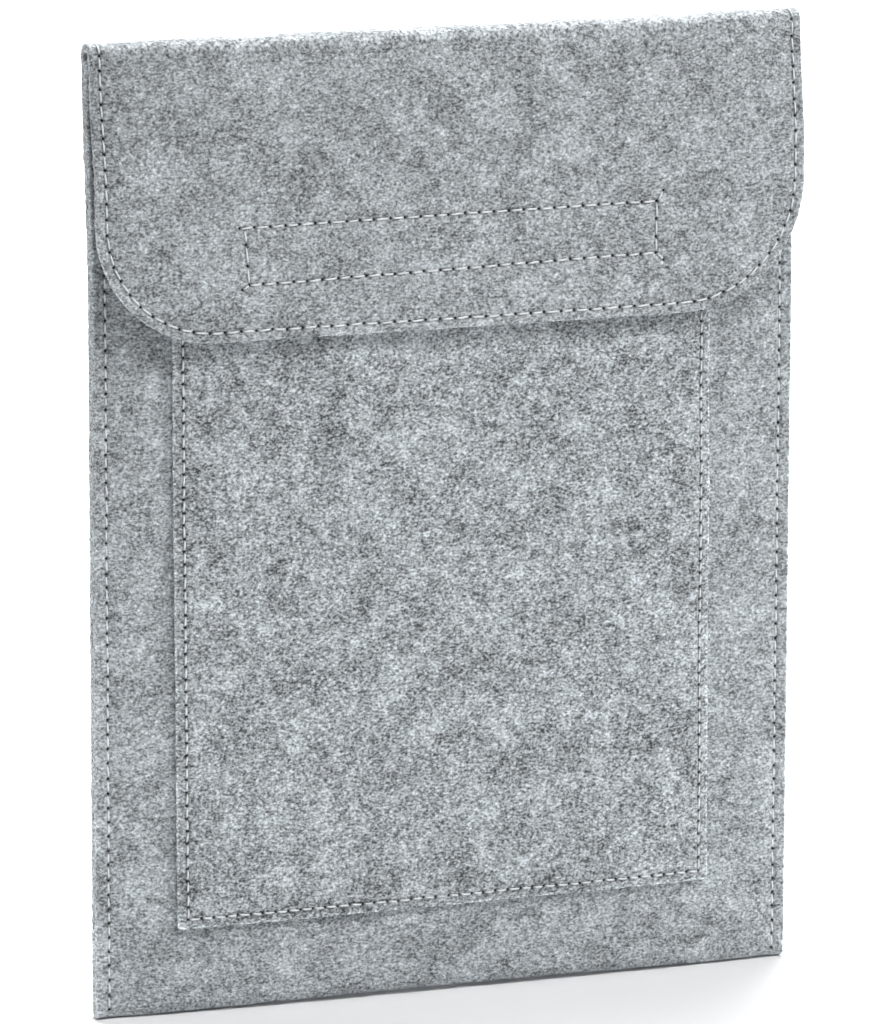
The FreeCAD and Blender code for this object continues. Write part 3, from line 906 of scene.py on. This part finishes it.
class Nodes:
    """Short names for adding shader nodes."""

    def __init__(self, tree):
        self.tree = tree

    def new(self, kind, **settings):
        node = self.tree.nodes.new(kind)
        for key, value in settings.items():
            setattr(node, key, value)
        return node

    def put(self, socket, value):
        if isinstance(value, bpy.types.NodeSocket):
            self.tree.links.new(value, socket)
        else:
            socket.default_value = value

    def math(self, operation, a, b=0.0, c=None, clamp=False):
        node = self.new("ShaderNodeMath", operation=operation, use_clamp=clamp)
        self.put(node.inputs[0], a)
        self.put(node.inputs[1], b)
        if c is not None:
            self.put(node.inputs[2], c)
        return node.outputs[0]

    def attribute(self, name, vector=True):
        node = self.new("ShaderNodeAttribute", attribute_name=name)
        return node.outputs["Vector" if vector else "Fac"]

    def mapping(self, vector, scale=(1, 1, 1), turn=(0, 0, 0), shift=(0, 0, 0)):
        node = self.new("ShaderNodeMapping", vector_type="TEXTURE")
        self.put(node.inputs["Vector"], vector)
        node.inputs["Scale"].default_value = scale
        node.inputs["Rotation"].default_value = turn
        node.inputs["Location"].default_value = shift
        return node.outputs[0]

    def noise(self, vector, scale, detail=2.0, roughness=0.5, distortion=0.0):
        node = self.new("ShaderNodeTexNoise", noise_dimensions="3D")
        self.put(node.inputs["Vector"], vector)
        node.inputs["Scale"].default_value = scale
        node.inputs["Detail"].default_value = detail
        node.inputs["Roughness"].default_value = roughness
        node.inputs["Distortion"].default_value = distortion
        return node.outputs["Fac"]

    def ramp(self, value, stops):
        node = self.new("ShaderNodeValToRGB")
        self.put(node.inputs[0], value)
        ramp = node.color_ramp
        while len(ramp.elements) < len(stops):
            ramp.elements.new(0.5)
        for element, (place, colour) in zip(ramp.elements, stops):
            element.position = place
            element.color = (*colour, 1) if len(colour) == 3 else colour
        return node.outputs[0]

    def span(self, value, from_low, from_high, to_low, to_high):
        node = self.new("ShaderNodeMapRange", clamp=True)
        self.put(node.inputs["Value"], value)
        node.inputs["From Min"].default_value = from_low
        node.inputs["From Max"].default_value = from_high
        node.inputs["To Min"].default_value = to_low
        node.inputs["To Max"].default_value = to_high
        return node.outputs[0]

    def parts(self, vector):
        node = self.new("ShaderNodeSeparateXYZ")
        self.put(node.inputs[0], vector)
        return node.outputs

    def shaded(self, colour, factor):
        node = self.new("ShaderNodeVectorMath", operation="SCALE")
        self.put(node.inputs[0], colour)
        self.put(node.inputs["Scale"], factor)
        return node.outputs[0]

    def bump(self, height, strength, distance):
        node = self.new("ShaderNodeBump")
        self.put(node.inputs["Height"], height)
        node.inputs["Strength"].default_value = strength
        node.inputs["Distance"].default_value = distance
        return node.outputs[0]


def grey(value):
    """A slightly cool felt grey: value is the middle channel, in linear light."""
    return (value * 0.935, value, value * 1.045)


def felt_material(name, contrast):
    """Felt of mixed pale and dark fibres. Lengths are millimetres of the grain attribute."""
    material, tree, shader = new_material(name)
    n = Nodes(tree)
    grain = n.attribute("grain")
    # fibres lie every way in the felt's plane
    total = None
    for k, (turn, fine) in enumerate(((4, 1.0), (47, 1.05), (88, 1.0), (139, 1.05))):
        at = n.mapping(grain, scale=(1.5 * fine, 0.56 * fine, 0.7), turn=(0, 0, math.radians(turn)),
                       shift=(17.0 * k, 5.0 * k, 3.0 * k))
        streak = n.noise(at, 1.0, detail=2.0, roughness=0.6, distortion=0.5)
        total = streak if total is None else n.math("ADD", total, streak)
    streaks = n.math("MULTIPLY", total, 0.25)
    speck = n.noise(n.mapping(grain, scale=(1.2, 0.88, 1.0)), 1.10, detail=1.2, roughness=0.6)
    tufts = n.noise(n.mapping(grain, scale=(1.1, 0.95, 1.0)), 0.30, detail=2.0, roughness=0.5)
    cloud = n.noise(grain, 0.06, detail=4.0, roughness=0.6)
    tone = n.math("MULTIPLY_ADD", streaks, 2.3, -1.15)
    tone = n.math("MULTIPLY_ADD", n.math("SUBTRACT", speck, 0.5), 1.75, tone)
    tone = n.math("MULTIPLY_ADD", n.math("SUBTRACT", tufts, 0.5), 0.66, tone)
    tone = n.math("MULTIPLY_ADD", n.math("SUBTRACT", cloud, 0.5), 0.7, tone)
    tone = n.math("MULTIPLY_ADD", tone, contrast, 0.5)
    greys = ((0.0, 0.05), (0.22, 0.16), (0.5, 0.375), (0.78, 0.62), (1.0, 0.86))
    colour = n.ramp(tone, [(place, grey(value)) for place, value in greys])
    # painted shade along the seam grooves
    groove_shade = n.attribute("seam_groove_shade", False)
    shade = n.math("SUBTRACT", 1.0, n.math("MULTIPLY", groove_shade, 0.10))
    # painted highlight along the cut edges, in part the paler cut fibre ends
    shade = n.math("MULTIPLY_ADD", n.attribute("cut_edge", False), 0.5, shade)
    # painted shade in the needle holes, on top of their dips
    hole = n.attribute("needle_hole_shade", False)
    dark = n.math("MULTIPLY", hole, 1.65, clamp=True)
    shade = n.math("MULTIPLY", shade, n.math("SUBTRACT", 1.0, dark, clamp=True))
    n.put(shader.inputs["Base Color"], n.shaded(colour, shade))
    height = n.math("ADD", n.math("MULTIPLY", streaks, 1.2), n.math("MULTIPLY", speck, 0.8))
    n.put(shader.inputs["Normal"], n.bump(height, 0.5, 0.00022))
    n.put(shader.inputs["Roughness"], n.span(tone, 0.0, 1.0, 0.97, 0.86))
    shader.inputs["Specular IOR Level"].default_value = 0.18
    shader.inputs["Sheen Weight"].default_value = 0.08
    shader.inputs["Sheen Roughness"].default_value = 0.5
    shader.inputs["Sheen Tint"].default_value = (0.95, 0.97, 1.0, 1.0)
    return material


def thread_material():
    """Pale polyester thread, with painted shade where it goes down into a needle hole."""
    material, tree, shader = new_material("polyester_thread")
    n = Nodes(tree)
    along = n.attribute("along")
    # two plies twisted together
    length, turn = n.parts(along)[:2]
    twist = n.math("ADD", n.math("MULTIPLY", length, 5.2), n.math("MULTIPLY", turn, 9.0))
    ply = n.math("SINE", twist)
    lint = n.noise(along, 3.0, detail=2.0, roughness=0.6)
    tone = n.math("ADD", n.math("MULTIPLY", ply, 0.16), n.math("MULTIPLY", lint, 0.9))
    colour = n.ramp(tone, [(0.1, (0.60, 0.63, 0.66)), (0.45, (0.88, 0.91, 0.94)), (0.8, (0.97, 0.98, 1.0))])
    # painted shade where the thread dives into a needle hole
    dark = n.math("MULTIPLY", n.attribute("dive_shade", False), 1.4, clamp=True)
    shade = n.math("SUBTRACT", 1.0, n.math("MULTIPLY", dark, 0.97))
    n.put(shader.inputs["Base Color"], n.shaded(colour, shade))
    n.put(shader.inputs["Normal"], n.bump(ply, 0.5, 0.00008))
    n.put(shader.inputs["Roughness"], n.span(lint, 0.3, 0.7, 0.5, 0.65))
    shader.inputs["Sheen Weight"].default_value = 0.15
    return material


def tape_material(name, dark, mid, light):
    """A plain weave under a slightly paler pile."""
    material, tree, shader = new_material(name)
    n = Nodes(tree)
    weave = n.attribute("weave")
    across, up = n.parts(weave)[:2]
    warp = n.math("SINE", n.math("MULTIPLY", across, 7.4))
    weft = n.math("SINE", n.math("MULTIPLY", up, 6.6))
    cross = n.math("MULTIPLY", warp, weft)
    lint = n.noise(weave, 1.8, detail=3.0, roughness=0.6)
    tone = n.math("ADD", n.math("MULTIPLY", cross, 0.13), lint)
    pile = n.attribute("pile", False)
    tone = n.math("ADD", tone, n.math("MULTIPLY", pile, 0.12))
    colour = n.ramp(tone, [(0.25, dark), (0.5, mid), (0.8, light)])
    n.put(shader.inputs["Base Color"], colour)
    n.put(shader.inputs["Normal"], n.bump(cross, 0.6, 0.00012))
    n.put(shader.inputs["Roughness"], n.span(lint, 0.3, 0.7, 0.42, 0.6))
    return material


def floor_material():
    material, tree, shader = new_material("pale_floor")
    n = Nodes(tree)
    place = n.new("ShaderNodeNewGeometry").outputs["Position"]
    cloud = n.noise(place, 2.0, detail=3.0)
    colour = n.ramp(cloud, [(0.3, (0.86, 0.865, 0.87)), (0.7, (0.88, 0.885, 0.89))])
    n.put(shader.inputs["Base Color"], colour)
    shader.inputs["Roughness"].default_value = 0.7
    shader.inputs["Specular IOR Level"].default_value = 0.2
    return material


felt = felt_material("melange_felt", 0.78)
pocket_felt = felt_material("melange_felt_pocket", 0.93)
thread = thread_material()
hook_material = tape_material("hook_tape_nylon", (0.11, 0.12, 0.13), (0.22, 0.24, 0.26), (0.38, 0.41, 0.44))
loop_material = tape_material("loop_tape_nylon", (0.18, 0.195, 0.21), (0.33, 0.355, 0.38), (0.52, 0.55, 0.58))
for piece in (front, back, flap):
    piece.data.materials.append(felt)
pocket.data.materials.append(pocket_felt)
for piece in threads.values():
    piece.data.materials.append(thread)
hook_tape.data.materials.append(hook_material)
loop_tape.data.materials.append(loop_material)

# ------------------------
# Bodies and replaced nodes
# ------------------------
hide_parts("front_panel", "bottom_fold")
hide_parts("back_panel")
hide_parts("top_fold", "flap_panel")
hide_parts("pocket_panel")
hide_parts("hook_strip")
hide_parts("loop_strip")
for key, piece in threads.items():
    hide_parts(f"{key}_thread")

# The back and the flap meet in the middle of the roll, where the felt goes over two rounded corners from the
# wall to the roll's top and down again. These pieces and the threads on the roll are baked in place and
# attached to no body.
for piece in (back, threads["fold_edge_needle"], threads["fold_edge_bobbin"]):
    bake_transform(piece)
for piece in (flap, threads["flap_edge_needle"], threads["flap_edge_bobbin"]):
    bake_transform(piece)
body_seams = ("left_seam", "right_seam", "pocket_seam", "loop_strip")
body_threads = [threads[f"{seam}_{role}"] for seam in body_seams for role in ("needle", "bobbin")]
for piece in (front, pocket, loop_tape, *body_threads):
    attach(piece, "root")
for piece in (hook_tape, threads["hook_strip_needle"], threads["hook_strip_bobbin"]):
    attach(piece, "flap")

# ------------------------
# Floor, lights and camera
# ------------------------
FLOOR_POINTS = 24
floor_mesh = bpy.data.meshes.new("floor")
fx, fy = np.meshgrid(np.linspace(-6, 6, FLOOR_POINTS), np.linspace(-5, 9, FLOOR_POINTS))
floor_points = np.stack([fx.ravel(), fy.ravel(), np.zeros(fx.size)], 1)
floor_mesh.from_pydata(floor_points.tolist(), [], grid_quads(FLOOR_POINTS, FLOOR_POINTS).tolist())
floor = bpy.data.objects.new("floor", floor_mesh)
bpy.context.scene.collection.objects.link(floor)
floor.data.materials.append(floor_material())


def area_light(name, place, aim, size, power, spread):
    data = bpy.data.lights.new(name, "AREA")
    data.shape = "DISK"
    data.size = size
    data.energy = power
    data.spread = math.radians(spread)
    light = bpy.data.objects.new(name, data)
    light.location = place
    light.rotation_euler = (Vector(aim) - Vector(place)).to_track_quat("-Z", "Y").to_euler()
    bpy.context.scene.collection.objects.link(light)


area_light("overhead", (0.25, 0.5, 1.9), (0, 0, 0.3), 0.8, 1.8, 40)
area_light("right", (1.8, -0.95, 1.5), (0, 0, 0.17), 0.5, 0.96, 30)
area_light("high", (0.35, -1.0, 2.1), (0, 0, 0.17), 0.5, 0.6, 30)
area_light("floor_wash", (0.3, 1.9, 2.0), (0.15, 1.9, 0), 2.2, 66, 120)
world = bpy.data.worlds.new("studio")
world.use_nodes = True
world.node_tree.nodes["Background"].inputs["Color"].default_value = (1.0, 1.0, 1.0, 1.0)
world.node_tree.nodes["Background"].inputs["Strength"].default_value = 0.355
bpy.context.scene.world = world
bpy.context.scene.view_settings.view_transform = "Standard"

AZIMUTH, ELEVATION, ROLL = map(math.radians, (-19.7, 12.344, 0.187))
DISTANCE = 2.7326
AIM = Vector((-0.00196, 0.0, 0.17304))
level = math.cos(ELEVATION)
away = Vector((math.sin(AZIMUTH) * level, -math.cos(AZIMUTH) * level, math.sin(ELEVATION)))
right = Vector((math.cos(AZIMUTH), math.sin(AZIMUTH), 0.0))
up = away.cross(right)
turned_right = right * math.cos(ROLL) + up * math.sin(ROLL)
turned_up = up * math.cos(ROLL) - right * math.sin(ROLL)
camera_data = bpy.data.cameras.new("camera")
camera_data.sensor_width = 36.0
camera_data.lens = 274.97
camera_data.clip_end = 100.0
camera = bpy.data.objects.new("camera", camera_data)
camera.matrix_world = Matrix((
    (turned_right.x, turned_up.x, away.x, AIM.x + away.x * DISTANCE),
    (turned_right.y, turned_up.y, away.y, AIM.y + away.y * DISTANCE),
    (turned_right.z, turned_up.z, away.z, AIM.z + away.z * DISTANCE),
    (0, 0, 0, 1)))
bpy.context.scene.collection.objects.link(camera)
bpy.context.scene.camera = camera
